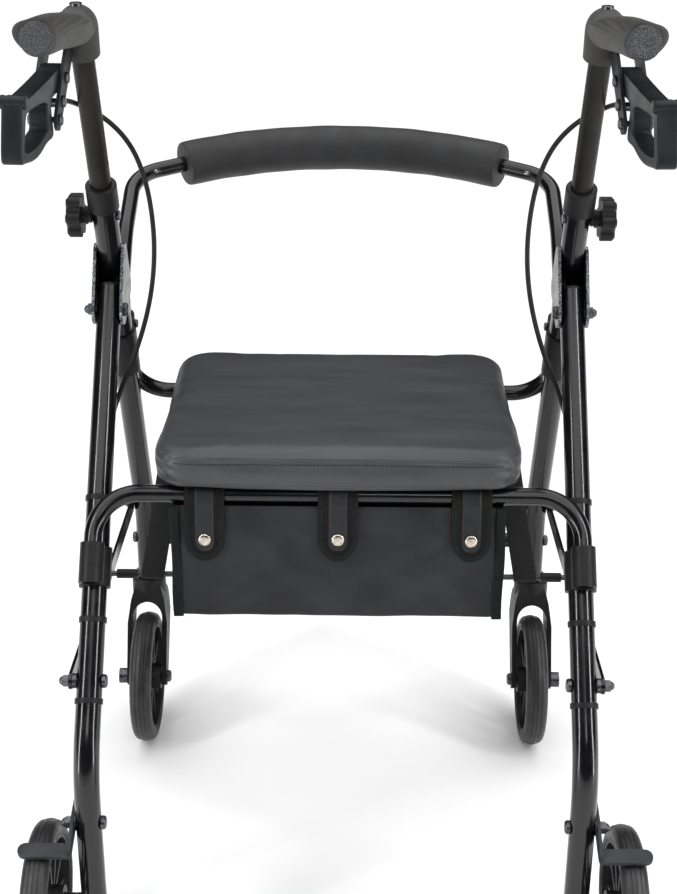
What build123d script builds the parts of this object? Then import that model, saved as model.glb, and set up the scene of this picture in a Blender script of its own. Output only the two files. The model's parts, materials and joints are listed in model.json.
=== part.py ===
from build123d import *
import os
from math import sin, cos, tan, radians, degrees, pi

# A folding four-wheel rollator walker: two bent front tubes that carry the telescoping
# handle posts, two rear legs hinged to them, a padded seat on two U-shaped rails, a padded
# backrest, swivelling front wheels, fixed rear wheels with cable brakes and a seat pouch.
# X is to the user's right, Y is the direction of travel, Z is up. The floor is Z = 0.

os.makedirs("parts", exist_ok=True)

# ---- whole object ----
half_depth = 334.0        # rear tyres reach -Y by this much, the backrest foam +Y
leg_x = 230.0             # every leg, post and U-rail end lies on this plane, each side
wheel_r = 77.0
wheelbase = 403.0
rear_axle_y = wheel_r - half_depth
front_axle_y = rear_axle_y + wheelbase
axle_z = wheel_r

# ---- tubes ----
front_tube_r = 12.3
rear_tube_r = 12.0
post_r = 10.25
rail_r = 8.5
wall = 1.6
receiver_bore_r = 10.6

# ---- front tube: vertical foot, then leaning back ----
caster_trail = 51.0
stem_y = front_axle_y + caster_trail
bend_z = 276.0
front_foot_z = 194.0
lean = radians(23.0)
receiver_top = 466.0      # distances along the leaning tube start at its bend
collar_length = 24.0
knob_at = 432.0
knob_stud_r = 3.5
cross_tube_z = 238.0
stem_r = 6.0

# ---- rear leg: hangs from the fold pivot, then turns down to the axle ----
pivot_at = 349.0
pivot_behind = 44.0
splay = radians(38.0)
rear_leg_above_pivot = 22.0
rear_foot_z = 60.0

# ---- seat rails, sleeves and seat ----
rail_z = 443.0
rail_offset = 24.0        # from a leg's axis to the axis of the rail end clamped beside it
rail_bend_r = 42.0
sleeve_wall = 3.0
front_sleeve = (228.0, 282.0)
rear_sleeve = (241.0, 279.0)
seat_w = 350.0
seat_near_y = -137.0
seat_far_y = 150.0
seat_bottom_z = 454.0
seat_top_z = 494.0
seat_corner_r = 36.0
seat_wrap = 8.0
board_t = 8.0
board_z = 458.0
hinge_x = 110.0
hinge_w = 26.0

# ---- side stays ----
stay_front_at = 10.0
stay_rear_at = 367.0
knuckle_y = 11.0
stay_t = 3.0
stay_h = 16.0
stay_gap = 0.4
rod_r = 3.0
front_stay_x = leg_x + front_tube_r + stay_gap
rear_stay_x = front_stay_x + stay_t + stay_gap

# ---- pouch ----
pouch_w = 316.0
pouch_near_y = -129.0
pouch_depth = 85.0
pouch_bottom_z = 318.0
pouch_rim_z = 430.0
pouch_t = 2.0
flap_xs = (-126.0, 0.0, 126.0)
flap_w = 41.0
flap_t = 1.2
flap_tip_z = 382.0
snap_z = 404.0
snap_r = 6.0

# ---- backrest ----
foam_r = 24.5
foam_half = 177.0
foam_y = half_depth - foam_r
foam_z = 681.0
foam_bend_x = 93.8
foam_bend_r = 370.0
backrest_slope = 0.523
backrest_drop = 0.125

# ---- handles ----
handle_corner_z = 864.0
handle_bend_r = 32.0
grip_length = 150.0
grip_rise = 10.0
toe_out = 3.0
lever_pivot = (-87.0, 825.0)
lever_x = 18.0            # the brake lever lies this far outboard of the grip
lever_w = 17.0
plate_t = 3.0
pin_r = 2.6
bracket_bolts_at = [lever_pivot, (-105.0, 808.0), (-120.0, 795.0)]
cable_stop_at = (-96.0, 804.5)
bracket_inner_x = leg_x + lever_x - lever_w / 2 - 0.5 - plate_t
bracket_outer_x = leg_x + lever_x + lever_w / 2 + 0.5 + plate_t

# ---- brake ----
brake_pivot_z = 169.0
brake_arm_x = 243.0
shoe_gap = 3.4
shoe_angle = radians(18.0)
shoe_t = 4.0
cable_horn = (24.0, 10.0)     # the cable pulls on the brake arm this far ahead of and above its pivot
rear_wheel_x = 276.0

# ---- wheels ----
tyre_w = 25.0
tyre_depth = 14.0
hub_r = 15.0
front_hub_w = 33.0
rear_hub_w = 34.0
spoke_count = 10
axle_r = 4.0
fork_half = 23.5
fork_slot = 17.6

# ---- fasteners ----
bolt_r = 4.0
head_r = 6.5
head_h = 4.5
running = 0.08
cable_r = 2.4

# ---- brake cables ----
clips_at = (193.0, 310.0, 386.0)
cable_below_leg = rear_tube_r + sleeve_wall + cable_r + 0.4


def front_at(t, ahead=0.0, x=leg_x):
    """Point t above the front tube's bend, measured along it, and this far ahead of its axis."""
    y = stem_y - sin(lean) * t + cos(lean) * ahead
    z = bend_z + cos(lean) * t + sin(lean) * ahead
    return Vector(x, y, z)


pivot = front_at(pivot_at, -pivot_behind)


def rear_at(t, behind=0.0, x=leg_x):
    """Point t below the fold pivot, measured along the rear leg, and this far behind its axis."""
    y = pivot.Y - sin(splay) * t - cos(splay) * behind
    z = pivot.Z - cos(splay) * t + sin(splay) * behind
    return Vector(x, y, z)


front_rail_at = (rail_z - bend_z - sin(lean) * rail_offset) / cos(lean)
rear_rail_at = (pivot.Z - rail_z + sin(splay) * rail_offset) / cos(splay)
front_rail_y = front_at(front_rail_at, rail_offset).Y
rear_rail_y = rear_at(rear_rail_at, rail_offset).Y
stay_front = front_at(stay_front_at)
stay_rear = rear_at(stay_rear_at)
knuckle_z = (stay_front.Z + stay_rear.Z) / 2
handle_corner_at = (handle_corner_z - bend_z) / cos(lean)
handle_corner = front_at(handle_corner_at)


def save(node, part):
    part.label = node
    export_step(part, f"parts/{node}.step")


def mirrored(part):
    return mirror(part, about=Plane.YZ)


def save_pair(node, part):
    save(node + "_right", part)
    save(node + "_left", mirrored(part))


def group(parts):
    solids = []
    for part in parts:
        solids.extend(part.solids())
    return Compound(solids)


def both_sides(*parts):
    return group(list(parts) + [mirrored(part) for part in parts])


def swept(points, radii, outer, inner=0.0):
    path = FilletPolyline(*points, radius=radii) if radii else Line(*points)
    plane = Plane(origin=path @ 0, z_dir=path % 0)
    section = Circle(outer) - Circle(inner) if inner else Circle(outer)
    return sweep(plane * section, path=path)


def rod_x(radius, x_from, x_to, y, z):
    return Pos((x_from + x_to) / 2, y, z) * Rot(0, 90, 0) * Cylinder(radius, abs(x_to - x_from))


def along(start, end, radius):
    return swept([start, end], None, radius)


def slab_x(circles, x_from, x_to):
    """Plate standing across X, whose outline is the hull of (y, z, radius) circles."""
    outline = make_hull([edge for y, z, r in circles for edge in (Pos(y, z) * Circle(r)).edges()])
    plane = Plane(origin=(x_from, 0, 0), x_dir=(0, 1, 0), z_dir=(1, 0, 0))
    return extrude(plane * outline, x_to - x_from)


def dome_head(y, z, x_face, outward, radius=head_r, height=head_h):
    head = rod_x(radius, x_face, x_face + outward * height, y, z)
    rim = head.edges().group_by(Axis.X)[-1 if outward > 0 else 0]
    return fillet(rim, height * 0.6)


def cap_nut(y, z, x_face, outward, across=6.2, height=5.0):
    hexagon = Plane(origin=(x_face, y, z), z_dir=(outward, 0, 0)) * RegularPolygon(across, 6)
    nut = extrude(hexagon, height)
    dome = Pos(x_face + outward * height, y, z) * Sphere(across * 0.72)
    return nut + dome - rod_x(20, x_face, x_face - outward * 20, y, z)


def bolt(y, z, x_head, x_nut, radius=bolt_r):
    """Bolt with its dome head inboard and its cap nut outboard."""
    shank = rod_x(radius, x_head, x_nut + 3, y, z)
    return shank + dome_head(y, z, x_head, -1) + cap_nut(y, z, x_nut, 1)


def front_tube():
    points = [(leg_x, stem_y, front_foot_z), (leg_x, stem_y, bend_z), front_at(receiver_top)]
    tube = swept(points, [120], front_tube_r, receiver_bore_r)
    for at in (stay_front, Vector(leg_x, stem_y, cross_tube_z)):
        tube -= rod_x(bolt_r, leg_x - 20, leg_x + 20, at.Y, at.Z)
    knob = front_at(knob_at)
    return tube - rod_x(knob_stud_r, leg_x - 20, leg_x + 20, knob.Y, knob.Z)


def fold_plates():
    low = front_at(pivot_at - 4)
    high = front_at(pivot_at + 36)
    outline = [(low.Y, low.Z, 11), (high.Y, high.Z, 10), (pivot.Y, pivot.Z, 15)]
    hole = rod_x(bolt_r, leg_x - 20, leg_x + 20, pivot.Y, pivot.Z)
    inner = slab_x(outline, leg_x - front_tube_r - plate_t, leg_x - front_tube_r)
    outer = slab_x(outline, leg_x + front_tube_r, leg_x + front_tube_r + plate_t)
    return both_sides(inner - hole, outer - hole)


def fold_bolts():
    reach = front_tube_r + plate_t
    return both_sides(bolt(pivot.Y, pivot.Z, leg_x - reach, leg_x + reach))


def height_collars():
    low = front_at(receiver_top - collar_length)
    top = front_at(receiver_top + 3)
    collar = along(low, top, front_tube_r + 2.9)
    collar = fillet(collar.edges().group_by(Axis.Z)[-1], 1.5)
    collar -= along(low, front_at(receiver_top), front_tube_r)
    return both_sides(collar - along(low, top + (top - low), receiver_bore_r))


def knob():
    at = front_at(knob_at)
    near = leg_x + front_tube_r + 0.3
    star = Circle(17)
    for turn in range(6):
        star += Rot(0, 0, 60 * turn) * Pos(15.5, 0) * Circle(6.5)
    plane = Plane(origin=(near + 9, at.Y, at.Z), x_dir=(0, 1, 0), z_dir=(1, 0, 0))
    head = extrude(plane * star, 14)
    head = chamfer(head.edges().group_by(Axis.X)[-1], 2.5)
    neck = rod_x(7.5, near, near + 9, at.Y, at.Z) + rod_x(9, near + 4, near + 6, at.Y, at.Z)
    stud = rod_x(knob_stud_r - 0.1, leg_x + receiver_bore_r + 0.1, near, at.Y, at.Z)
    return head + neck + stud


def knob_rivets():
    at = front_at(knob_at)
    face = leg_x - front_tube_r
    rivet = rod_x(knob_stud_r, face, leg_x - receiver_bore_r, at.Y, at.Z)
    return both_sides(rivet + dome_head(at.Y, at.Z, face, -1, 5, 2.5))


def u_rail(end, corner):
    """Tube that runs in from one clamped end, across the walker and out to the other."""
    points = [end, corner, Vector(-corner.X, corner.Y, corner.Z), Vector(-end.X, end.Y, end.Z)]
    return swept(points, [rail_bend_r, rail_bend_r], rail_r, rail_r - wall)


def front_seat_rail():
    end = front_at(front_sleeve[0] + 24, rail_offset)
    return u_rail(end, front_at(front_rail_at, rail_offset))


def rear_seat_rail():
    end = rear_at(rear_sleeve[1] - 6, rail_offset)
    return u_rail(end, rear_at(rear_rail_at, rail_offset))


def sleeve(point_at, span, leg_r):
    """Double-barrelled plastic clamp: one barrel on the leg, the other on the rail end."""
    low, high = (point_at(span[0]), point_at(span[1]))
    low_rail, high_rail = (point_at(span[0], rail_offset), point_at(span[1], rail_offset))
    body = along(low, high, leg_r + sleeve_wall) + along(low_rail, high_rail, rail_r + sleeve_wall)
    mid_low, mid_high = ((low + low_rail) * 0.5, (high + high_rail) * 0.5)
    body += along(mid_low, mid_high, rail_r)
    return body - along(low, high, leg_r) - along(low_rail, high_rail, rail_r)


def cross_tube():
    end = leg_x - front_tube_r - 0.2
    tube = rod_x(rail_r, -end, end, stem_y, cross_tube_z)
    tube -= rod_x(rail_r - wall, 30 - end, end - 30, stem_y, cross_tube_z)
    for side in (-1, 1):
        tube -= rod_x(3, side * (end - 22), side * end, stem_y, cross_tube_z)
        tube += rod_x(11, side * (end - 4), side * end, stem_y, cross_tube_z)
        tube -= rod_x(3, side * (end - 22), side * end, stem_y, cross_tube_z)
    return tube


def cross_tube_bolts():
    face = leg_x + front_tube_r
    shank = rod_x(3, leg_x - front_tube_r - 20, face, stem_y, cross_tube_z)
    collar = rod_x(bolt_r, leg_x - front_tube_r, face, stem_y, cross_tube_z)
    return both_sides(shank + collar + dome_head(stem_y, cross_tube_z, face, 1))


def stay_front_bolts():
    face = leg_x - front_tube_r
    nut = leg_x + front_tube_r + 2 * stay_gap + stay_t
    return both_sides(bolt(stay_front.Y, stay_front.Z, face, nut))


def stem_bearings():
    top = front_foot_z + 44
    bush = Pos(leg_x, stem_y, 0) * extrude(Plane.XY.offset(front_foot_z) * Circle(receiver_bore_r), 32)
    flange = extrude(Plane.XY.offset(front_foot_z - 5) * Circle(front_tube_r + 2.5), 5)
    bush += Pos(leg_x, stem_y, 0) * flange
    stem = extrude(Plane.XY.offset(front_foot_z - 10) * Circle(stem_r + running), top)
    return both_sides(bush - Pos(leg_x, stem_y, 0) * stem)


def rear_leg():
    corner_t = (pivot.Y - rear_axle_y) / sin(splay)
    points = [rear_at(-rear_leg_above_pivot), rear_at(corner_t), (leg_x, rear_axle_y, rear_foot_z)]
    tube = swept(points, [110], rear_tube_r, rear_tube_r - wall)
    tube -= rod_x(bolt_r + running, leg_x - 20, leg_x + 20, pivot.Y, pivot.Z)
    for y, z in ((stay_rear.Y, stay_rear.Z), (rear_axle_y, axle_z), (rear_axle_y, brake_pivot_z)):
        tube -= rod_x(bolt_r, leg_x - 20, leg_x + 20, y, z)
    return tube


def leg_caps():
    top = rear_at(-rear_leg_above_pivot)
    above = rear_at(-rear_leg_above_pivot - 2.5)
    inside = rear_at(-rear_leg_above_pivot + 8)
    upper = along(top, above, rear_tube_r) + along(inside, top, rear_tube_r - wall)
    foot = Vector(leg_x, rear_axle_y, rear_foot_z)
    lower = along(foot, foot - (0, 0, 3), rear_tube_r)
    lower += along(foot + (0, 0, 8), foot, rear_tube_r - wall)
    return both_sides(upper, lower)


def stay_rear_bolts():
    face = leg_x + rear_tube_r
    fastener = bolt(stay_rear.Y, stay_rear.Z, leg_x - rear_tube_r, rear_stay_x + stay_t + stay_gap)
    spacer = rod_x(7, face, rear_stay_x - stay_gap, stay_rear.Y, stay_rear.Z)
    return both_sides(fastener + spacer)


def stay_bar(pivot_point, x_from):
    end_r = stay_h / 2
    outline = [(pivot_point.Y, pivot_point.Z, end_r), (knuckle_y, knuckle_z, end_r)]
    bar = slab_x(outline, x_from, x_from + stay_t)
    return bar - rod_x(bolt_r + running, x_from - 5, x_from + 10, pivot_point.Y, pivot_point.Z)


def front_stay():
    bar = stay_bar(stay_front, front_stay_x)
    return bar - rod_x(rod_r, front_stay_x - 5, front_stay_x + 10, knuckle_y, knuckle_z)


def stay_rod():
    return rod_x(rod_r, -front_stay_x - stay_t, front_stay_x + stay_t, knuckle_y, knuckle_z)


def rod_sleeves():
    sleeve_part = rod_x(5, 214, 236, knuckle_y, knuckle_z)
    return both_sides(sleeve_part - rod_x(rod_r, 200, 240, knuckle_y, knuckle_z))


def rear_stay():
    """Outer bar of the folding stay; the rivet at its knuckle end is part of it."""
    return stay_bar(stay_rear, rear_stay_x) + dome_head(knuckle_y, knuckle_z, rear_stay_x + stay_t, 1, 7, 3)


def lift_strap():
    """Webbing that is looped round the stay rod and sewn to itself below the seat."""
    width, thickness = (24.0, 3.0)
    low_x, high_x = (198.0, 168.0)
    eye_r = rod_r + 2.6
    eye = rod_x(eye_r, low_x - width / 2, low_x + width / 2, knuckle_y, knuckle_z)
    top_z = seat_bottom_z - 3
    corners = [
        (low_x - width / 2, knuckle_z),
        (low_x + width / 2, knuckle_z),
        (high_x + width / 2, top_z),
        (high_x - width / 2, top_z),
    ]
    web_plane = Plane(origin=(0, knuckle_y + thickness / 2, 0), x_dir=(1, 0, 0), z_dir=(0, -1, 0))
    web = extrude(web_plane * make_face(Polyline(*corners, close=True)), thickness)
    hole = rod_x(rod_r + 0.4, low_x - width, low_x + width, knuckle_y, knuckle_z)
    return eye + web - hole


def seat_outline(inset):
    width = seat_w - 2 * inset
    length = seat_far_y - seat_near_y - 2 * inset
    centre_y = (seat_far_y + seat_near_y) / 2
    return Pos(0, centre_y) * RectangleRounded(width, length, seat_corner_r - inset)


def seat_pad():
    pad = extrude(Plane.XY.offset(seat_bottom_z) * seat_outline(0), seat_top_z - seat_bottom_z)
    pad = fillet(pad.edges().group_by(Axis.Z)[-1], 9)
    pad -= extrude(Plane.XY.offset(seat_bottom_z) * seat_outline(seat_wrap), board_z + board_t - seat_bottom_z)
    for side in (-1, 1):
        notch = Box(hinge_w + 1, 30, 10, align=(Align.CENTER, Align.CENTER, Align.CENTER))
        pad -= Pos(side * hinge_x, seat_far_y, board_z - 5) * notch
    return pad


def seat_board():
    board = extrude(Plane.XY.offset(board_z) * seat_outline(seat_wrap), board_t)
    return board


def seat_hinges():
    """Two saddles under the board that wrap most of the way round the front rail."""
    parts = []
    for side in (-1, 1):
        middle = side * hinge_x
        x_from, x_to = (middle - hinge_w / 2, middle + hinge_w / 2)
        ring = rod_x(rail_r + 3.5, x_from, x_to, front_rail_y, rail_z)
        tongue_w = 44.0
        tongue = Pos(middle, front_rail_y - tongue_w / 2, board_z - 2) * Box(hinge_w, tongue_w, 4)
        clip = ring + tongue
        clip -= Pos(middle, front_rail_y, board_z + 10) * Box(60, 60, 20)
        parts.append(clip - rod_x(rail_r + 0.25, x_from - 1, x_to + 1, front_rail_y, rail_z))
    return group(parts)


def seat_rests():
    rest_h = board_z - rail_z - rail_r - 0.4
    z = board_z - rest_h / 2
    return group([Pos(x, rear_rail_y, z) * Box(20, 14, rest_h) for x in (-62, 62)])


def pouch():
    depth = pouch_depth
    centre_y = pouch_near_y + depth / 2
    height = pouch_rim_z - pouch_bottom_z
    z = pouch_bottom_z + height / 2
    bag = Pos(0, centre_y, z) * Box(pouch_w, depth, height)
    bag = fillet(bag.edges().filter_by(Axis.Z), 10)
    inside_w, inside_d = (pouch_w - 2 * pouch_t, depth - 2 * pouch_t)
    inside = Pos(0, centre_y, z + pouch_t) * Box(inside_w, inside_d, height)
    return bag - fillet(inside.edges().filter_by(Axis.Z), 8)


def pouch_flaps():
    """Three tabs that come up behind the rail, pass over it and snap to the near panel."""
    inner = rail_r + 0.5
    outer = inner + flap_t
    face_y = pouch_near_y - 0.4
    parts = []
    for x in flap_xs:
        x_from = x - flap_w / 2
        hoop = rod_x(outer, x_from, x_from + flap_w, rear_rail_y, rail_z)
        hoop -= rod_x(inner, x_from - 1, x_from + flap_w + 1, rear_rail_y, rail_z)
        hoop -= Pos(x, rear_rail_y, rail_z - 20) * Box(flap_w + 2, 60, 40)
        rear_y = rear_rail_y - outer
        front_y = rear_rail_y + outer
        drop = Polyline(
            (rear_y, rail_z), (rear_y + flap_t, rail_z), (face_y, pouch_rim_z + 2),
            (face_y, flap_tip_z), (face_y - flap_t, flap_tip_z), (face_y - flap_t, pouch_rim_z + 2),
            close=True,
        )
        side = Plane(origin=(x_from, 0, 0), x_dir=(0, 1, 0), z_dir=(1, 0, 0))
        near = extrude(side * make_face(drop), flap_w)
        back = Pos(x, front_y - flap_t / 2, rail_z - 12) * Box(flap_w, flap_t, 24)
        flap = hoop + near + back
        keep = Pos(x, face_y, flap_tip_z + 15) * Rot(90, 0, 0)
        point = keep * extrude(Circle(flap_w * 0.45) + Pos(0, 30) * Rectangle(flap_w, 60), 6, both=True)
        low = Pos(x, face_y, flap_tip_z + 7) * Box(flap_w + 2, 12, 15)
        parts.append(flap - (low - point))
    return group(parts)


def pouch_snaps():
    face_y = pouch_near_y - 0.4 - flap_t
    parts = []
    for x in flap_xs:
        snap = Pos(x, face_y - 1.1, snap_z) * Rot(90, 0, 0) * Cylinder(snap_r, 2.2)
        parts.append(fillet(snap.edges().group_by(Axis.Y)[0], 1.4))
    return group(parts)


def backrest_points():
    """Corner points of the right half of the backrest tube, from its clamped end inwards."""
    corner_drop = leg_x - foam_bend_x
    return [
        front_at(front_sleeve[0] + 27, rail_offset),
        front_at(front_sleeve[1] + 26, rail_offset),
        Vector(leg_x, 150, 622),
        Vector(leg_x, foam_y - backrest_slope * corner_drop, foam_z - backrest_drop * corner_drop),
        Vector(foam_bend_x, foam_y, foam_z),
    ]


def backrest_tube():
    half = backrest_points()
    other = [Vector(-p.X, p.Y, p.Z) for p in reversed(half)]
    bends = [42, 70, 48, foam_bend_r]
    return swept(half + other, bends + bends[::-1], rail_r, rail_r - wall)


def backrest_foam():
    inset = foam_half - foam_bend_x
    end = Vector(foam_half, foam_y - backrest_slope * inset, foam_z - backrest_drop * inset)
    bend = Vector(foam_bend_x, foam_y, foam_z)
    points = [end, bend, Vector(-bend.X, bend.Y, bend.Z), Vector(-end.X, end.Y, end.Z)]
    return swept(points, [foam_bend_r, foam_bend_r], foam_r, rail_r)


def backrest_screws():
    at = front_at(front_sleeve[1] - 12, rail_offset)
    face = leg_x - rail_r - sleeve_wall
    return both_sides(dome_head(at.Y, at.Z, face, -1, 4.5, 3))


def post():
    tube = swept([front_at(300), handle_corner, handle_end()], [handle_bend_r], post_r, post_r - wall)
    for step in range(6):
        hole = front_at(knob_at - 62 + 25 * step)
        tube -= rod_x(3.2, leg_x - 20, leg_x + 20, hole.Y, hole.Z)
    return tube


def handle_frame(part):
    """Swing a handle piece that was drawn straight back from the post's top out by the toe angle."""
    corner = Pos(handle_corner.X, handle_corner.Y, 0)
    return corner * Rot(0, 0, toe_out) * Pos(-handle_corner.X, -handle_corner.Y, 0) * part


def grip_axis(s):
    return handle_corner + Vector(0, -s, grip_rise * s / grip_length)


def handle_end():
    toe = radians(toe_out)
    run = grip_length - 6
    return handle_corner + Vector(sin(toe) * run, -cos(toe) * run, grip_rise)


def post_core():
    return swept([front_at(300), handle_corner, handle_end()], [handle_bend_r], post_r)


def oval(s, width, height, up=0.0, out=0.0):
    """Ellipse across the grip, s behind the post's corner, raised and moved outboard."""
    middle = grip_axis(s) + Vector(out, 0, up)
    plane = Plane(origin=middle, x_dir=(1, 0, 0), z_dir=(0, -1, 0))
    return plane * Ellipse(width / 2, height / 2)


def grip_cap():
    top = grip_axis(6)
    cap = Pos(top.X, top.Y, top.Z + 18.5) * Cylinder(5.5, 4)
    return handle_frame(fillet(cap.edges().group_by(Axis.Z)[-1], 1.5))


def grip():
    """Moulded grip: a hood over the post's bend, a swelling barrel and a flared palm rest."""
    body = loft([oval(4, 33, 33), oval(45, 31, 31), oval(90, 33, 30, 1), oval(138, 31, 29)])
    body += Pos(*handle_corner) * Sphere(17.5)
    body += along(front_at(handle_corner_at - 26), front_at(handle_corner_at), 14.5)
    body += loft([oval(60, 30, 20, 6), oval(100, 58, 11, 9, -5), oval(144, 50, 8, 11, 0)])
    body += along(grip_axis(136), grip_axis(grip_length), 14)
    return handle_frame(body) - post_core() - handle_frame(bracket_body()) - grip_cap()


def bracket_body():
    """Ring round the handle tube and two cheeks that hang from it, before the tube is taken out."""
    body = along(grip_axis(17), grip_axis(41), post_r + 3.2)
    body += slab_x([(-60, 851.5, 2), (-82, 851.5, 2)], leg_x - 2, bracket_outer_x)
    outline = [(-64, 846, 10), (-80, 832, 10), (-121, 794, 8)]
    for x in (bracket_inner_x, bracket_outer_x - plate_t):
        body += slab_x(outline, x, x + plate_t)
    return body + rod_x(3.4, bracket_inner_x, bracket_outer_x, *cable_stop_at)


def brake_bracket():
    body = bracket_body()
    middle = leg_x + lever_x
    y, z = cable_stop_at
    body += along(Vector(middle, y, z), Vector(middle, y + 8, z - 1), cable_r + 1.2)
    for y, z in bracket_bolts_at:
        body -= rod_x(pin_r, bracket_inner_x - 5, bracket_outer_x + 5, y, z)
    return handle_frame(body) - post_core()


def handle_bolts():
    """Lever pivot and two cross bolts of the bracket, with the grip's press-in cap."""
    parts = [grip_cap()]
    for y, z in bracket_bolts_at:
        pin = rod_x(pin_r, bracket_inner_x, bracket_outer_x, y, z)
        pin += dome_head(y, z, bracket_inner_x, -1, 5, 3) + dome_head(y, z, bracket_outer_x, 1, 5, 3)
        parts.append(handle_frame(pin))
    return group(parts)


def brake_lever():
    """Moulded loop lever: a straight top bar, a thumb stop, and a bow that returns below."""
    middle = leg_x + lever_x
    x_from, x_to = (middle - lever_w / 2, middle + lever_w / 2)
    pivot_y, pivot_z = lever_pivot
    lever = slab_x([(pivot_y, pivot_z, 10), (-213, 822, 5.5)], x_from, x_to)
    lever += slab_x([(-216, 822, 5.5), (-229, 787, 4.5)], x_from, x_to)
    lever += slab_x([(-229, 787, 4.5), (-180, 781, 4.5)], x_from, x_to)
    lever += slab_x([(-180, 781, 4.5), (-134, 788, 6)], x_from, x_to)
    lever += slab_x([(-134, 788, 6), (-142, 822, 6)], x_from, x_to)
    lever += slab_x([(-212, 828, 4.5), (-221, 824, 4.5)], x_from - 2.5, x_to + 2.5)
    return handle_frame(lever - rod_x(pin_r + running, x_from - 5, x_to + 5, pivot_y, pivot_z))


def brake_arm():
    """Steel arm on the rear leg whose folded end lies across the tyre as the brake shoe."""
    shoe_r = wheel_r + shoe_gap
    y = rear_axle_y - sin(shoe_angle) * shoe_r
    z = axle_z + cos(shoe_angle) * shoe_r
    x_to = brake_arm_x + plate_t
    forward, up = cable_horn
    hub = (rear_axle_y, brake_pivot_z, 9)
    arm = slab_x([hub, (y - 1, z + 3, 6)], brake_arm_x, x_to)
    arm += slab_x([hub, (rear_axle_y + forward, brake_pivot_z + up, 6)], brake_arm_x, x_to)
    shoe_w = rear_wheel_x + tyre_w / 2 + 4 - brake_arm_x
    shoe = Box(shoe_w, 15, shoe_t, align=(Align.MIN, Align.CENTER, Align.MIN))
    shoe = fillet(shoe.edges().filter_by(Axis.Z).group_by(Axis.X)[-1], 7)
    arm += Pos(brake_arm_x, y, z) * Rot(degrees(shoe_angle), 0, 0) * shoe
    return arm - rod_x(bolt_r + running, brake_arm_x - 5, x_to + 5, rear_axle_y, brake_pivot_z)


def brake_bolts():
    fastener = bolt(rear_axle_y, brake_pivot_z, leg_x - rear_tube_r, brake_arm_x + plate_t + 0.4)
    washer = rod_x(8, leg_x + rear_tube_r, brake_arm_x - 0.4, rear_axle_y, brake_pivot_z)
    return both_sides(fastener + washer)


def wheel_ring(x, y, outer, inner, width):
    ring = rod_x(outer, x - width / 2, x + width / 2, y, axle_z)
    return ring - rod_x(inner, x - width, x + width, y, axle_z)


def tyre(x, y):
    """Solid tyre with rounded shoulders and fine grooves round the tread and the side walls."""
    ring = wheel_ring(x, y, wheel_r, wheel_r - tyre_depth, tyre_w)
    ring = fillet(ring.edges().filter_by(GeomType.CIRCLE).group_by(SortBy.RADIUS)[-1], 9)
    for groove in (-4.5, 0, 4.5):
        ring -= wheel_ring(x + groove, y, wheel_r + 1, wheel_r - 0.9, 1.2)
    for side in (-1, 1):
        ring -= wheel_ring(x + side * tyre_w / 2, y, wheel_r - 8, wheel_r - 9.2, 1.6)
    return ring


def wheel(x, y, hub_w):
    """One moulding: a rim flush inside the tyre, thin flat spokes and the hub."""
    rim_r = wheel_r - tyre_depth
    body = wheel_ring(x, y, rim_r, rim_r - 4, tyre_w - 3)
    body += rod_x(hub_r, x - hub_w / 2, x + hub_w / 2, y, axle_z)
    for index in range(spoke_count):
        spoke = Pos(0, 0, (rim_r - 2) / 2) * Box(13, 3.4, rim_r - 2)
        body += Pos(x, y, axle_z) * Rot(360 / spoke_count * index, 0, 0) * spoke
    return body - rod_x(axle_r + running, x - 30, x + 30, y, axle_z)


def rear_axles():
    hub_face = rear_wheel_x - rear_hub_w / 2
    nut_face = rear_wheel_x + rear_hub_w / 2 + 0.3
    fastener = bolt(rear_axle_y, axle_z, leg_x - rear_tube_r, nut_face, axle_r)
    spacer = rod_x(8, leg_x + rear_tube_r, hub_face - 0.3, rear_axle_y, axle_z)
    return both_sides(fastener + spacer)


def caster_fork():
    """Moulded fork: a round crown under the leg, then an arch whose blades sweep back to the axle."""
    top_z = front_foot_z - 5.6
    crown_z = 155.0
    arch_z = 145.0
    crown = Pos(leg_x, stem_y, (top_z + crown_z) / 2) * Cylinder(20, top_z - crown_z)
    crown = fillet(crown.edges().group_by(Axis.Z)[-1], 3)
    side_view = [(stem_y - 2, 160, 17), (stem_y - 6, 168, 14), (front_axle_y, axle_z, 11)]
    body = slab_x(side_view, leg_x - fork_half, leg_x + fork_half)
    rear_view = Polyline((-fork_half, 50), (-fork_half, 140), (-20, 164), (-14, 184),
                         (14, 184), (20, 164), (fork_half, 140), (fork_half, 50), close=True)
    body &= Pos(leg_x, stem_y + 40, 0) * extrude(Plane.XZ * make_face(rear_view), 140)
    body += crown
    arch = Pos(0, arch_z / 2) * Rectangle(2 * fork_slot, arch_z) + Pos(0, arch_z) * Circle(fork_slot)
    arch = Pos(leg_x, stem_y + 40, 0) * extrude(Plane.XZ * arch, 140)
    body -= arch & rod_x(wheel_r + 14, leg_x - 30, leg_x + 30, front_axle_y, axle_z)
    body -= rod_x(axle_r, leg_x - 40, leg_x + 40, front_axle_y, axle_z)
    return body + Pos(leg_x, stem_y, top_z + 15) * Cylinder(stem_r, 34)


def caster_axle():
    inner, outer = (leg_x - fork_half, leg_x + fork_half)
    axle = rod_x(axle_r, inner, outer + 2, front_axle_y, axle_z)
    axle += dome_head(front_axle_y, axle_z, inner, -1, 7, 5)
    return axle + rod_x(9, outer, outer + 10, front_axle_y, axle_z)


def cable_clip(t):
    """Thin plastic saddle round the rear leg that holds the brake cable below it."""
    low, high = (rear_at(t - 2.5), rear_at(t + 2.5))
    cable_low, cable_high = (rear_at(t - 2.5, -cable_below_leg), rear_at(t + 2.5, -cable_below_leg))
    ring = along(low, high, rear_tube_r + 1.2) + along(cable_low, cable_high, cable_r + 1.4)
    ring += along((low + cable_low) * 0.5, (high + cable_high) * 0.5, 4)
    ring -= along(low, high, rear_tube_r)
    return ring - along(cable_low, cable_high, cable_r)


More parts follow.
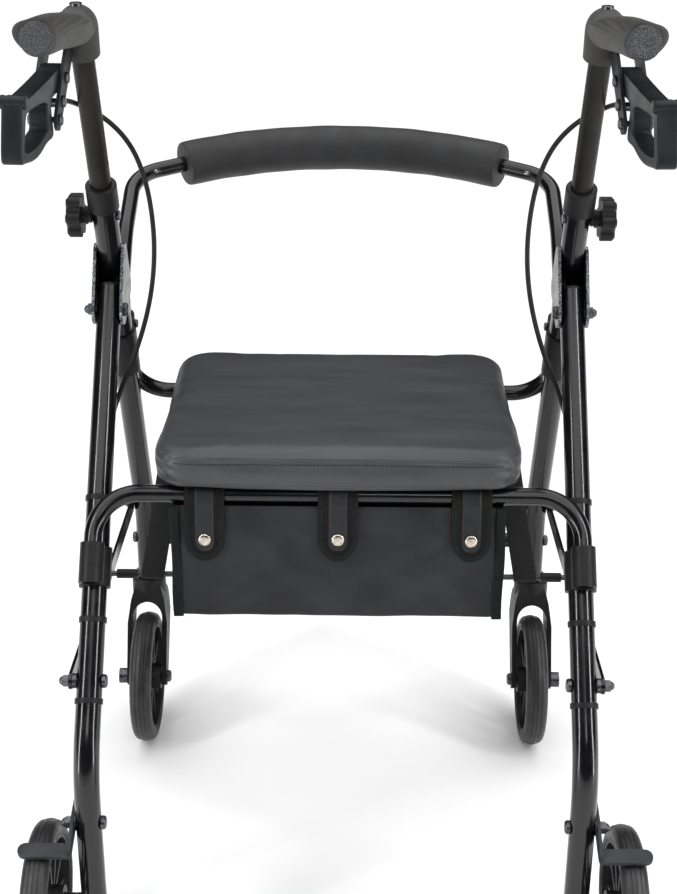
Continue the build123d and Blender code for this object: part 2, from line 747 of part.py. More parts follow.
# The brake cable, by hand: out of the bracket, round the front of the post, then down in a
# free loop inboard of it to the rear leg, where clips hold it below the tube.
def upper_route():
    return [
        Vector(249.8, -86.7, 803.4),
        Vector(249.5, -50.0, 799.5),
        Vector(243.0, -8.0, 788.0),
        Vector(221.0, 9.0, 772.0),
        Vector(201.0, 12.0, 750.0),
        Vector(189.0, 13.0, 722.0),
        Vector(182.0, 12.0, 686.0),
        Vector(180.0, 9.0, 643.0),
        Vector(185.0, 2.0, 598.0),
        Vector(198.0, -8.0, 552.0),
        Vector(218.0, -18.0, 507.0),
        rear_at(130, -cable_below_leg),
        rear_at(clips_at[0], -cable_below_leg),
    ]


def lower_route():
    return [
        rear_at(clips_at[0], -cable_below_leg),
        rear_at(clips_at[-1] + 20, -cable_below_leg),
        Vector(234.0, -229.0, 221.0),
        Vector(241.0, -233.5, 203.0),
        Vector(244.5, -233.5, 190.0),
    ]


def cable(name, points):
    """Each arc is as large as the shorter of its two runs allows."""
    radii = []
    for before, here, after in zip(points, points[1:], points[2:]):
        turn = radians((here - before).get_angle(after - here))
        shorter = min((here - before).length, (after - here).length)
        radii.append(0.45 * shorter / tan(turn / 2))
    part = swept(points, radii, cable_r)
    print(name, "length", round(part.volume / (pi * cable_r**2)), "radii", [round(r) for r in radii])
    return part


for node, part in {
    "fold_plates": fold_plates(),
    "height_collars": height_collars(),
    "front_seat_rail": front_seat_rail(),
    "rear_seat_rail": rear_seat_rail(),
    "front_sleeves": both_sides(sleeve(front_at, front_sleeve, front_tube_r)),
    "rear_sleeves": both_sides(sleeve(rear_at, rear_sleeve, rear_tube_r)),
    "cross_tube": cross_tube(),
    "stem_bearings": stem_bearings(),
    "backrest_tube": backrest_tube(),
    "backrest_foam": backrest_foam(),
    "lift_straps": both_sides(lift_strap()),
    "leg_caps": leg_caps(),
    "front_stays": both_sides(front_stay()),
    "stay_rod": stay_rod(),
    "rod_sleeves": rod_sleeves(),
    "seat_pad": seat_pad(),
    "seat_board": seat_board(),
    "seat_hinges": seat_hinges(),
    "seat_rests": seat_rests(),
    "pouch": pouch(),
    "pouch_flaps": pouch_flaps(),
    "pouch_snaps": pouch_snaps(),
    "cable_clips": both_sides(*[cable_clip(t) for t in clips_at]),
    "brake_cables_upper": both_sides(cable("upper cable", upper_route())),
    "brake_cables_lower": both_sides(cable("lower cable", lower_route())),
    "frame_bolts": group([
        fold_bolts(), knob_rivets(), cross_tube_bolts(), stay_front_bolts(), backrest_screws(),
    ]),
    "rear_bolts": group([stay_rear_bolts(), rear_axles(), brake_bolts()]),
}.items():
    save(node, part)

for node, part in {
    "front_tube": front_tube(),
    "rear_leg": rear_leg(),
    "rear_stay": rear_stay(),
    "height_knob": knob(),
    "handle_post": post(),
    "grip": grip(),
    "brake_bracket": brake_bracket(),
    "handle_bolts": handle_bolts(),
    "brake_lever": brake_lever(),
    "brake_arm": brake_arm(),
    "caster_fork": caster_fork(),
    "caster_axle": caster_axle(),
    "front_tyre": tyre(leg_x, front_axle_y),
    "front_wheel": wheel(leg_x, front_axle_y, front_hub_w),
    "rear_tyre": tyre(rear_wheel_x, rear_axle_y),
    "rear_wheel": wheel(rear_wheel_x, rear_axle_y, rear_hub_w),
}.items():
    save_pair(node, part)
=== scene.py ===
import json
from math import sin, cos, pi, radians, exp, sqrt

import bmesh
import bpy
from mathutils import Matrix, Vector, noise
from mathutils.bvhtree import BVHTree


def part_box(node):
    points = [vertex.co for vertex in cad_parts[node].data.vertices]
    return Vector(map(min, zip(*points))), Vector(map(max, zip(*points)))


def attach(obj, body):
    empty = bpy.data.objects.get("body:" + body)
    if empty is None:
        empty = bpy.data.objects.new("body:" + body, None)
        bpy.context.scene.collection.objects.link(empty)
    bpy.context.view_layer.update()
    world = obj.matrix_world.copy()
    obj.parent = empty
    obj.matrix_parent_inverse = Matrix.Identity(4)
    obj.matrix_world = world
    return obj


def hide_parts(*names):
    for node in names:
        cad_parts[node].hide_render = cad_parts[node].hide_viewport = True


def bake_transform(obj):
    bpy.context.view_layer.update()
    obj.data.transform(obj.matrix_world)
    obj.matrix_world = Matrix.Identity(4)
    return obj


# The looks of a folding rollator walker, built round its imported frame. Metres, +Z up.

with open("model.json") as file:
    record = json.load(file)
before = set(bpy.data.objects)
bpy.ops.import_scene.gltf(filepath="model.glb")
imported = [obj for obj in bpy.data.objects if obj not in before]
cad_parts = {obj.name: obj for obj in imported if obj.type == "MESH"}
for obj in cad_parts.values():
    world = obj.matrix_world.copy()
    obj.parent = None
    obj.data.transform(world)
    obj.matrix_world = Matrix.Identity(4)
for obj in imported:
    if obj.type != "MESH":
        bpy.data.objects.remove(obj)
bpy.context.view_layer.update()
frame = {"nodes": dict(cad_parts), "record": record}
scene = bpy.context.scene
SIDES = {"left": -1, "right": 1}


# ---- camera, floor and light ----

def camera():
    data = bpy.data.cameras.new("camera")
    data.lens = 60.66
    data.sensor_width = 36
    obj = bpy.data.objects.new("camera", data)
    obj.location = (0.0104, -1.407, 1.0495)
    look = Matrix.Rotation(radians(0.46), 4, "Z") @ Matrix.Rotation(radians(66.64), 4, "X")
    obj.matrix_world = Matrix.Translation(obj.location) @ look @ Matrix.Rotation(radians(0.31), 4, "Z")
    scene.collection.objects.link(obj)
    scene.camera = obj


def area_light(name, place, target, size, power):
    data = bpy.data.lights.new(name, "AREA")
    data.shape = "RECTANGLE"
    data.size, data.size_y = size
    data.energy = power
    obj = bpy.data.objects.new(name, data)
    obj.location = place
    obj.rotation_euler = (Vector(target) - Vector(place)).to_track_quat("-Z", "Y").to_euler()
    scene.collection.objects.link(obj)


def studio():
    scene.view_settings.view_transform = "Standard"
    world = bpy.data.worlds.new("studio")
    scene.world = world
    world.use_nodes = True
    nodes, links = world.node_tree.nodes, world.node_tree.links
    seen = nodes.new("ShaderNodeLightPath").outputs["Is Camera Ray"]
    brightness = nodes.new("ShaderNodeMapRange")
    brightness.inputs["To Min"].default_value = 0.05
    brightness.inputs["To Max"].default_value = 1.0
    links.new(seen, brightness.inputs["Value"])
    links.new(brightness.outputs["Result"], nodes["Background"].inputs["Strength"])
    nodes["Background"].inputs["Color"].default_value = (1.0, 1.0, 1.0, 1)
    sky = bpy.data.lights.new("soft_sky", "SUN")
    sky.energy = 3.5
    sky.angle = radians(90)
    scene.collection.objects.link(bpy.data.objects.new("soft_sky", sky))
    area_light("strip_left", (-1.5, -1.0, 1.0), (0, 0, 0.55), (0.12, 2.0), 22)
    area_light("strip_right", (1.5, -0.8, 1.0), (0, 0, 0.55), (0.12, 2.0), 22)
    area_light("front", (0.3, -2.6, 2.2), (0, 0, 0.5), (0.7, 0.4), 5)
    floor = mesh_object("floor", [(-30, -30, 0), (30, -30, 0), (30, 30, 0), (-30, 30, 0)], [(0, 1, 2, 3)])
    paint = Shader("floor_paint", (0.93, 0.93, 0.93), 0.9)
    paint.vary(2.0, (0.90, 0.90, 0.90), (0.95, 0.95, 0.95))
    floor.data.materials.append(paint.material)


# ---- mesh helpers ----

def mesh_object(name, points, faces, smooth=True):
    mesh = bpy.data.meshes.new(name)
    mesh.from_pydata([tuple(p) for p in points], [], faces)
    mesh.validate()
    obj = bpy.data.objects.new(name, mesh)
    scene.collection.objects.link(obj)
    if smooth:
        mesh.polygons.foreach_set("use_smooth", [True] * len(mesh.polygons))
    return obj


def baked(obj):
    """obj's mesh with its modifiers or curve settings applied, in place of obj."""
    bpy.context.view_layer.update()
    graph = bpy.context.evaluated_depsgraph_get()
    mesh = bpy.data.meshes.new_from_object(obj.evaluated_get(graph))
    name, materials = obj.name, list(obj.data.materials)
    world = obj.matrix_world.copy()
    bpy.data.objects.remove(obj)
    new = bpy.data.objects.new(name, mesh)
    new.matrix_world = world
    scene.collection.objects.link(new)
    mesh.polygons.foreach_set("use_smooth", [True] * len(mesh.polygons))
    if materials and not mesh.materials:
        mesh.materials.append(materials[0])
    return new


def crease_shade(obj, degrees=40):
    """Smooth faces, with edges sharper than this kept crisp."""
    obj.data.set_sharp_from_angle(angle=radians(degrees))


def with_modifier(obj, kind, **settings):
    modifier = obj.modifiers.new(kind.lower(), kind)
    for key, value in settings.items():
        setattr(modifier, key, value)
    return baked(obj)


def joined(name, *objects):
    """One object of several, each with its own material kept."""
    body = bmesh.new()
    materials = []
    for obj in objects:
        start = len(body.faces)
        body.from_mesh(obj.data)
        body.faces.ensure_lookup_table()
        for material in obj.data.materials:
            if material not in materials:
                materials.append(material)
        for face in body.faces[start:]:
            if obj.data.materials:
                face.material_index = materials.index(obj.data.materials[face.material_index])
    mesh = bpy.data.meshes.new(name)
    body.to_mesh(mesh)
    body.free()
    for material in materials:
        mesh.materials.append(material)
    for obj in objects:
        bpy.data.objects.remove(obj)
    new = bpy.data.objects.new(name, mesh)
    scene.collection.objects.link(new)
    return new


def loft(name, rings, caps=True, cyclic=True):
    """Skin through rings of points, each ring with the same number of points."""
    size = len(rings[0])
    points = [p for ring in rings for p in ring]
    faces = []
    for row in range(len(rings) - 1):
        for col in range(size if cyclic else size - 1):
            a, b = row * size + col, row * size + (col + 1) % size
            faces.append((a, b, b + size, a + size))
    if caps:
        faces.append(tuple(reversed(range(size))))
        faces.append(tuple(range(len(points) - size, len(points))))
    return mesh_object(name, points, faces)


def tube(name, path, radius, steps=16, caps=True):
    """Round tube along a path. radius is a number or a function of the path's share from 0 to 1."""
    path = [Vector(p) for p in path]
    rings, side = [], None
    for i, point in enumerate(path):
        ahead = (path[min(i + 1, len(path) - 1)] - path[max(i - 1, 0)]).normalized()
        if side is None:
            side = ahead.orthogonal().normalized()
        side = (side - ahead * side.dot(ahead)).normalized()
        up = ahead.cross(side)
        r = radius(i / (len(path) - 1)) if callable(radius) else radius
        rings.append([point + r * (cos(a) * side + sin(a) * up) for a in turn_steps(steps)])
    return loft(name, rings, caps)


def band(name, path, normals, width, thickness, cyclic=False):
    """Flat tape along a path, its face turned to the normals, with softly rounded edges."""
    path = [Vector(p) for p in path]
    shape = [(-0.5, 0.12), (-0.44, 0.42), (-0.2, 0.5), (0.2, 0.5), (0.44, 0.42), (0.5, 0.12),
             (0.5, -0.12), (0.44, -0.42), (0.2, -0.5), (-0.2, -0.5), (-0.44, -0.42), (-0.5, -0.12)]
    rings = []
    for i, point in enumerate(path):
        after = path[(i + 1) % len(path)] if cyclic else path[min(i + 1, len(path) - 1)]
        before = path[i - 1] if cyclic else path[max(i - 1, 0)]
        ahead = (after - before).normalized()
        normal = Vector(normals[i] if isinstance(normals, list) else normals)
        normal = (normal - ahead * normal.dot(ahead)).normalized()
        side = ahead.cross(normal)
        rings.append([point + side * (u * width) + normal * (v * thickness) for u, v in shape])
    if cyclic:
        rings.append(rings[0])
    return loft(name, rings, caps=not cyclic)


def turn_steps(count):
    return [2 * pi * i / count for i in range(count)]


def lathe(name, profile, centre, steps=72):
    """Closed (x, r) profile turned about an axis along X."""
    cx, cy, cz = centre
    rings = [[(cx + x, cy + r * cos(a), cz + r * sin(a)) for a in turn_steps(steps)] for x, r in profile]
    rings.append(rings[0])
    return loft(name, rings, caps=False)


def spline(points, samples):
    """Points along a smooth NURBS line that starts and ends at the first and last point."""
    data = bpy.data.curves.new("line", "CURVE")
    data.dimensions = "3D"
    data.resolution_u = samples
    line = data.splines.new("NURBS")
    line.points.add(len(points) - 1)
    for knot, point in zip(line.points, points):
        knot.co = (*point, 1)
    line.order_u = 3
    line.use_endpoint_u = True
    obj = bpy.data.objects.new("line", data)
    scene.collection.objects.link(obj)
    bpy.context.view_layer.update()
    mesh = bpy.data.meshes.new_from_object(obj.evaluated_get(bpy.context.evaluated_depsgraph_get()))
    found = [v.co.copy() for v in mesh.vertices]
    bpy.data.objects.remove(obj)
    bpy.data.meshes.remove(mesh)
    return found


def surface_of(obj):
    """Search tree for rays cast at a mesh."""
    return BVHTree.FromPolygons([v.co for v in obj.data.vertices], [p.vertices for p in obj.data.polygons])


# ---- materials ----

class Shader:
    """A Principled material whose colour, roughness and relief come from procedural nodes."""

    def __init__(self, name, colour, roughness, **sockets):
        self.material = bpy.data.materials.new(name)
        self.material.use_nodes = True
        self.tree = self.material.node_tree
        self.shader = self.tree.nodes["Principled BSDF"]
        self.shader.inputs["Base Color"].default_value = (*colour, 1)
        self.shader.inputs["Roughness"].default_value = roughness
        for key, value in sockets.items():
            self.shader.inputs[key.replace("_", " ")].default_value = value
        self.place = self.node("ShaderNodeTexCoord").outputs["Object"]
        self.relief = None

    def node(self, kind, **settings):
        made = self.tree.nodes.new(kind)
        for key, value in settings.items():
            setattr(made, key, value)
        return made

    def link(self, source, target):
        self.tree.links.new(source, target)

    def stretched(self, stretch):
        mapping = self.node("ShaderNodeMapping")
        mapping.inputs["Scale"].default_value = stretch
        self.link(self.place, mapping.inputs["Vector"])
        return mapping.outputs["Vector"]

    def noise(self, scale, detail=4, stretch=None):
        made = self.node("ShaderNodeTexNoise")
        made.inputs["Scale"].default_value = scale
        made.inputs["Detail"].default_value = detail
        self.link(self.stretched(stretch) if stretch else self.place, made.inputs["Vector"])
        return made.outputs["Fac"]

    def cells(self, scale, feature="F1"):
        made = self.node("ShaderNodeTexVoronoi", feature=feature)
        made.inputs["Scale"].default_value = scale
        self.link(self.place, made.inputs["Vector"])
        return made.outputs["Distance"]

    def ribs(self, axis, pitch):
        made = self.node("ShaderNodeTexWave", bands_direction=axis)
        made.inputs["Scale"].default_value = 0.314 / pitch
        self.link(self.place, made.inputs["Vector"])
        return made.outputs["Fac"]

    def ramp(self, source, stops):
        made = self.node("ShaderNodeValToRGB")
        ramp = made.color_ramp
        while len(ramp.elements) < len(stops):
            ramp.elements.new(0.5)
        for element, (at, colour) in zip(ramp.elements, stops):
            element.position = at
            element.color = (*colour, 1)
        self.link(source, made.inputs["Fac"])
        return made.outputs["Color"]

    def mixed(self, share, first, second):
        """second over first, by share; each may be a socket or a colour."""
        made = self.node("ShaderNodeMix", data_type="RGBA")
        self.link(share, made.inputs["Factor"])
        for source, socket in ((first, made.inputs[6]), (second, made.inputs[7])):
            if isinstance(source, tuple):
                socket.default_value = (*source, 1)
            else:
                self.link(source, socket)
        return made.outputs[2]

    def range(self, source, low, high, start=0.3, end=0.7):
        made = self.node("ShaderNodeMapRange")
        for key, value in (("From Min", start), ("From Max", end), ("To Min", low), ("To Max", high)):
            made.inputs[key].default_value = value
        self.link(source, made.inputs["Value"])
        return made.outputs["Result"]

    def vary(self, scale, dark, light, detail=5, stretch=None):
        colour = self.ramp(self.noise(scale, detail, stretch), [(0.3, dark), (0.7, light)])
        self.link(colour, self.shader.inputs["Base Color"])
        return colour

    def gloss(self, scale, low, high, stretch=None):
        self.link(self.range(self.noise(scale, 5, stretch), low, high), self.shader.inputs["Roughness"])

    def bump(self, height, strength, distance):
        made = self.node("ShaderNodeBump")
        made.inputs["Strength"].default_value = strength
        made.inputs["Distance"].default_value = distance
        self.link(height, made.inputs["Height"])
        if self.relief:
            self.link(self.relief, made.inputs["Normal"])
        self.relief = made.outputs["Normal"]
        self.link(self.relief, self.shader.inputs["Normal"])


def gloss_paint():
    s = Shader("gloss_black_paint", (0.004, 0.004, 0.005), 0.2, Specular_IOR_Level=0.3,
               Coat_Weight=0.3, Coat_Roughness=0.06)
    s.vary(30, (0.002, 0.002, 0.003), (0.005, 0.005, 0.006))
    s.gloss(60, 0.14, 0.26)
    s.bump(s.noise(700, 2), 0.05, 0.0004)
    return s


def plate_paint():
    """Black paint that is worn to bright steel along the cut edges of the plates."""
    s = Shader("worn_plate_paint", (0.01, 0.01, 0.01), 0.3)
    normal = s.node("ShaderNodeSeparateXYZ")
    s.link(s.tree.nodes["Texture Coordinate"].outputs["Normal"], normal.inputs[0])
    flat = s.node("ShaderNodeMath", operation="ABSOLUTE")
    s.link(normal.outputs["X"], flat.inputs[0])
    edge = s.range(flat.outputs[0], 1, 0, 0.2, 0.6)
    chipped = s.node("ShaderNodeMath", operation="MULTIPLY")
    s.link(edge, chipped.inputs[0])
    s.link(s.range(s.noise(900, 6), 0, 1, 0.5, 0.62), chipped.inputs[1])
    s.link(s.mixed(chipped.outputs[0], (0.008, 0.008, 0.009), (0.42, 0.45, 0.5)), s.shader.inputs["Base Color"])
    s.link(chipped.outputs[0], s.shader.inputs["Metallic"])
    s.gloss(80, 0.2, 0.36)
    s.bump(s.noise(900, 3), 0.12, 0.0005)
    return s


def satin_paint(name, dark, light, low, high):
    s = Shader(name, light, low, Specular_IOR_Level=0.16)
    s.vary(45, dark, light)
    s.gloss(70, low, high)
    s.bump(s.noise(1200, 3), 0.06, 0.0003)
    return s


def moulded(name, dark, light, low=0.36, high=0.5):
    """Black plastic with the fine spark-eroded texture of its mould."""
    s = Shader(name, light, low, Specular_IOR_Level=0.18)
    s.vary(55, dark, light)
    s.gloss(40, low, high)
    s.bump(s.noise(1600, 3), 0.12, 0.0004)
    return s


def grip_rubber():
    s = Shader("grip_rubber", (0.04, 0.039, 0.036), 0.7, Specular_IOR_Level=0.25, Sheen_Weight=0.1, Sheen_Roughness=0.5)
    s.vary(26, (0.026, 0.0255, 0.0235), (0.042, 0.041, 0.038))
    s.gloss(60, 0.58, 0.74)
    s.bump(s.noise(1900, 4), 0.25, 0.0005)
    return s


def grip_end():
    """Coarsely speckled end face of the grip."""
    s = Shader("grip_end_texture", (0.05, 0.052, 0.058), 0.5)
    grain = s.cells(900)
    s.link(s.ramp(grain, [(0.1, (0.09, 0.095, 0.11)), (0.5, (0.014, 0.015, 0.018))]), s.shader.inputs["Base Color"])
    s.gloss(500, 0.3, 0.6)
    s.bump(grain, 0.7, 0.0009)
    return s


def tyre_rubber():
    s = Shader("tyre_rubber", (0.02, 0.02, 0.022), 0.6, Specular_IOR_Level=0.4)
    s.vary(90, (0.010, 0.010, 0.011), (0.022, 0.022, 0.024))
    s.gloss(130, 0.34, 0.55)
    s.bump(s.noise(1300, 4), 0.2, 0.0005)
    return s


def vinyl():
    """Soft leathercloth: pebbled grain, a faint lengthwise crush and a slight sheen."""
    s = Shader("charcoal_vinyl", (0.04, 0.042, 0.044), 0.45, Specular_IOR_Level=0.4)
    s.vary(9, (0.032, 0.033, 0.035), (0.044, 0.045, 0.047), 7, (1, 5, 1))
    s.gloss(14, 0.36, 0.5, (1, 4, 1))
    s.bump(s.cells(620, "SMOOTH_F1"), 0.2, 0.0005)
    s.bump(s.noise(1400, 4), 0.18, 0.0003)
    return s


def foam_skin():
    s = Shader("closed_cell_foam", (0.012, 0.012, 0.013), 0.5, Specular_IOR_Level=0.35,
               Sheen_Weight=0.05, Sheen_Roughness=0.6)
    s.vary(40, (0.010, 0.010, 0.011), (0.016, 0.0165, 0.018))
    s.gloss(50, 0.5, 0.66)
    s.bump(s.noise(2400, 4), 0.22, 0.0004)
    return s


def woven(name, dark, light, pitch, axes=("X", "Z"), low=0.5, high=0.68):
    """Plain weave: two sets of threads that show as relief, with painted shade that darkens the gaps between them."""
    s = Shader(name, light, low, Specular_IOR_Level=0.3, Sheen_Weight=0.04, Sheen_Roughness=0.4)
    first, second = s.ribs(axes[0], pitch), s.ribs(axes[1], pitch)
    weave = s.node("ShaderNodeMath", operation="MULTIPLY")
    s.link(first, weave.inputs[0])
    s.link(second, weave.inputs[1])
    patches = s.ramp(s.noise(14, 8), [(0.38, dark), (0.66, light)])
    # painted shade: where the threads dip, the colour goes to this darker copy of the cloth's dark tone
    painted_gap_shade = tuple(0.55 * v for v in dark)
    s.link(s.mixed(s.range(weave.outputs[0], 0, 1, 0, 0.5), painted_gap_shade, patches), s.shader.inputs["Base Color"])
    s.gloss(30, low, high)
    s.bump(weave.outputs[0], 0.35, 0.0004)
    s.bump(s.noise(26, 6), 0.5, 0.006)
    return s


def ribbed_tape(name, dark, light, axis, pitch):
    s = Shader(name, light, 0.6, Specular_IOR_Level=0.15)
    ribs = s.ribs(axis, pitch)
    # painted shade: the colour follows the ribs, dark in the valleys between them and the tape's own colour on the
    # crests
    s.link(s.mixed(ribs, dark, light), s.shader.inputs["Base Color"])
    s.gloss(80, 0.5, 0.7)
    s.bump(ribs, 0.6, 0.0006)
    s.bump(s.noise(1500, 3), 0.2, 0.0003)
    return s


def metal(name, dark, light, low, high, scale=160):
    s = Shader(name, light, low, Metallic=1.0)
    s.vary(scale, dark, light)
    s.gloss(scale, low, high)
    s.bump(s.noise(scale * 6, 3), 0.08, 0.0002)
    return s


def make_materials():
    return {
        "frame_paint": gloss_paint(),
        "plates": plate_paint(),
        "post_paint": satin_paint("post_satin_black", (0.006, 0.0055, 0.005), (0.012, 0.011, 0.010), 0.28, 0.4),
        "bracket_paint": satin_paint("bracket_satin_black", (0.020, 0.021, 0.023), (0.035, 0.036, 0.04), 0.36, 0.5),
        "black_plastic": moulded("black_nylon", (0.006, 0.006, 0.007), (0.012, 0.012, 0.013)),
        "lever_plastic": moulded("lever_nylon", (0.008, 0.009, 0.010), (0.018, 0.019, 0.021), 0.3, 0.42),
        "wheel_plastic": moulded("wheel_nylon", (0.007, 0.007, 0.008), (0.014, 0.014, 0.015), 0.36, 0.5),
        "grip_rubber": grip_rubber(),
        "grip_end": grip_end(),
        "tyre": tyre_rubber(),
        "vinyl": vinyl(),
        "thread": ribbed_tape("black_thread", (0.010, 0.010, 0.011), (0.022, 0.022, 0.024), "X", 0.0008),
        "foam": foam_skin(),
        "pouch_cloth": woven("pouch_nylon", (0.006, 0.0065, 0.008), (0.024, 0.026, 0.031), 0.0011, low=0.38, high=0.55),
        "binding": ribbed_tape("green_black_binding", (0.002, 0.003, 0.003), (0.005, 0.011, 0.010), "Z", 0.0016),
        "flap_binding": ribbed_tape("brown_black_binding", (0.003, 0.0025, 0.002), (0.007, 0.006, 0.005), "Z", 0.0016),
        "webbing": ribbed_tape("webbing", (0.006, 0.006, 0.006), (0.014, 0.014, 0.015), "Z", 0.0022),
        "nickel": metal("nickel_snap", (0.34, 0.30, 0.25), (0.62, 0.56, 0.48), 0.16, 0.32, 300),
        "fastener": metal("black_zinc", (0.05, 0.05, 0.055), (0.12, 0.12, 0.13), 0.24, 0.4, 240),
        "cable_sheath": satin_paint("cable_sheath", (0.008, 0.008, 0.008), (0.016, 0.016, 0.016), 0.3, 0.45),
        "wire": metal("steel_wire", (0.25, 0.25, 0.26), (0.45, 0.45, 0.46), 0.25, 0.4, 800),
        "board": moulded("seat_board", (0.010, 0.010, 0.010), (0.018, 0.018, 0.018), 0.55, 0.7),
    }


def paint_frame():
    """Every carried-over CAD node gets the finish of its material slot."""
    for part in frame["record"]["subparts"]:
        slot = "plates" if part["node"] == "fold_plates" else part["material_slot"]
        mesh = frame["nodes"][part["node"]].data
        mesh.materials.clear()
        mesh.materials.append(finishes[slot].material)


def dress(obj, slot, body=None, finish=None):
    """Give a new piece the material of its slot, and let it ride on a body."""
    if not obj.data.materials:
        obj.data.materials.append(finishes[finish or slot].material)
    if body:
        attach(obj, body)
    return obj


# ---- seat ----

def rounded_outline(low, high, radius, inset, steps=8):
    """Corners of a rounded rectangle, anticlockwise, drawn in by inset."""
    x0, y0, x1, y1 = low[0] + inset, low[1] + inset, high[0] - inset, high[1] - inset
    radius = radius - inset
    points = []
    for cx, cy, start in ((x1 - radius, y1 - radius, 0), (x0 + radius, y1 - radius, 90),
                          (x0 + radius, y0 + radius, 180), (x1 - radius, y0 + radius, 270)):
        for i in range(steps + 1):
            angle = radians(start + 90 * i / steps)
            points.append((cx + radius * cos(angle), cy + radius * sin(angle)))
    return points


def puff(obj, pressure, cap, frames=20):
    """Inflate a closed form as cloth, and let no point move further than the cap."""
    rest = [v.co.copy() for v in obj.data.vertices]
    cloth = obj.modifiers.new("cloth", "CLOTH")
    settings = cloth.settings
    settings.use_pressure = True
    settings.uniform_pressure_force = pressure
    settings.quality = 5
    settings.effector_weights.gravity = 0
    cloth.point_cache.frame_start = 1
    cloth.point_cache.frame_end = frames
    for number in range(1, frames + 1):
        scene.frame_set(number)
    obj = baked(obj)
    for vertex, home in zip(obj.data.vertices, rest):
        moved = vertex.co - home
        if moved.length > cap:
            vertex.co = home + moved.normalized() * cap
    scene.frame_set(1)
    return obj


def seat():
    """Upholstered pad that wraps the seat board's edge, with a piped and stitched top seam and a welt below."""
    low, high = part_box("seat_pad")
    middle, size = (low + high) / 2, high - low
    levels = [(0.0125, 0.0095), (0.0010, 0.0090), (0.0, 0.0060), (0.0015, 0.0025), (0.006, 0.0010), (0.014, 0.0),
              (0.028, 0.0), (0.0325, 0.0012), (0.0365, 0.0045), (0.0388, 0.0100)]
    rings = [[(x, y, low.z + up) for x, y in rounded_outline(low, high, 0.036, inset)] for up, inset in levels]
    pad = loft("seat_cushion", rings)
    pad = with_modifier(pad, "REMESH", mode="VOXEL", voxel_size=0.004)
    pad = puff(pad, pressure=2.5, cap=0.0018)
    pad = with_modifier(pad, "SUBSURF", levels=1)
    for axis in range(3):
        reach = [v.co[axis] for v in pad.data.vertices]
        start, scale = min(reach), size[axis] / (max(reach) - min(reach))
        for vertex in pad.data.vertices:
            vertex.co[axis] = low[axis] + (vertex.co[axis] - start) * scale
    seam_z = high.z - 0.0095
    for vertex in pad.data.vertices:
        p = vertex.co
        across, along_y = 2 * (p.x - middle.x) / size.x, 2 * (p.y - middle.y) / size.y
        edge = max(abs(across), abs(along_y))
        if p.z > seam_z + 0.002:
            crown = 0.0030 * (1 - across**4) * (1 - along_y**4)
            slack = 0.0007 * noise.noise(Vector((p.x * 9, p.y * 24, 3))) * min(1, 4 * (1.02 - edge))
            p.z += crown + slack - 0.001
        elif edge > 0.93 and p.z > low.z + 0.002:
            outward = Vector((p.x - middle.x, p.y - middle.y, 0)).normalized()
            groove = 0.0012 * exp(-((p.z - seam_z) / 0.0012) ** 2)
            corner = max(0, abs(across * along_y) - 0.74) * 5
            pleat = corner * 0.0013 * sin(p.z * 600 + p.x * 160)
            wave = 0.0012 * noise.noise(Vector((p.x * 20, p.y * 20, p.z * 40)))
            vertex.co -= outward * (groove + pleat - wave)
    dress(pad, "vinyl", "seat")
    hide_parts("seat_pad")
    surface = surface_of(pad)
    for name, z, size_r, sink in (("seat_seam", seam_z, 0.0011, 0.0004), ("seat_welt", low.z + 0.0060, 0.0013, 0.0005)):
        path = []
        for a in turn_steps(260):
            ray = Vector((cos(a), sin(a), 0))
            hit, normal = surface.ray_cast(Vector((middle.x, middle.y, z)) + ray * 0.4, -ray)[:2]
            if hit:
                path.append(hit - normal * sink)
        dress(tube(name, path + path[:1], size_r, 8, caps=False), "vinyl", "seat")
    stitches = []
    for i in range(-40, 41):
        x = 0.0038 * i
        hit, normal = surface.ray_cast(Vector((x, low.y - 0.1, seam_z - 0.0036)), Vector((0, 1, 0)))[:2]
        reach = Vector((0.0013, 0, 0))
        ends = [hit - reach - normal * 0.0003, hit + normal * 0.0003, hit + reach - normal * 0.0003]
        stitches.append(tube("stitch", ends, lambda t: 0.00034 + 0.0002 * sin(pi * t), 6))
    dress(joined("seat_stitches", *stitches), "vinyl", "seat", "thread")


# ---- backrest ----

def backrest():
    """Foam sleeve over the curved tube, with flat cut ends."""
    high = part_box("backrest_foam")[1]
    radius, bend_x, front_y, z = 0.0245, 0.0938, high.y - 0.0245, high.z - 0.0245
    slope, drop, half = 0.523, 0.125, 0.177
    inset = half - bend_x
    end = (half, front_y - slope * inset, z - drop * inset)
    bend = (bend_x, front_y, z)
    route = [end, bend, (-bend_x, front_y, z), (-half, end[1], end[2])]
    path = spline(route, samples=40)
    count = len(path)

    def girth(share):
        from_end = min(share, 1 - share) * (count - 1)
        rounding = 0.0011 * exp(-from_end / 0.8)
        return radius - rounding + 0.0003 * sin(share * 37) * cos(share * 11)

    foam = tube("backrest_sleeve", path, girth, 48)
    foam = with_modifier(foam, "BEVEL", width=0.0012, segments=2, limit_method="ANGLE")
    crease_shade(foam, 50)
    dress(foam, "foam", "front_frame")
    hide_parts("backrest_foam")


# ---- pouch ----

POUCH_TOP = 0.436


def pouch_front(x, z):
    """How far back the near face of the pouch lies: it bellies out a little and is softly creased."""
    low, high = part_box("pouch")
    up = (z - low.z) / (POUCH_TOP - low.z)
    belly = 0.0030 * sin(pi * min(1, max(0, up))) * (1 - (x / high.x) ** 4)
    crease = 0.0042 * noise.noise(Vector((x * 15, 2, z * 10)))
    crease += 0.0026 * noise.noise(Vector((x * 34 + z * 22, 5, z * 14 - x * 8)))
    crease += 0.0020 * abs(noise.noise(Vector((x * 22 - z * 34, 9, z * 9))))
    return low.y + 0.0010 - belly - crease * min(1, 4 * (1 - up), 14 * (1 - abs(x) / high.x) + 0.1)


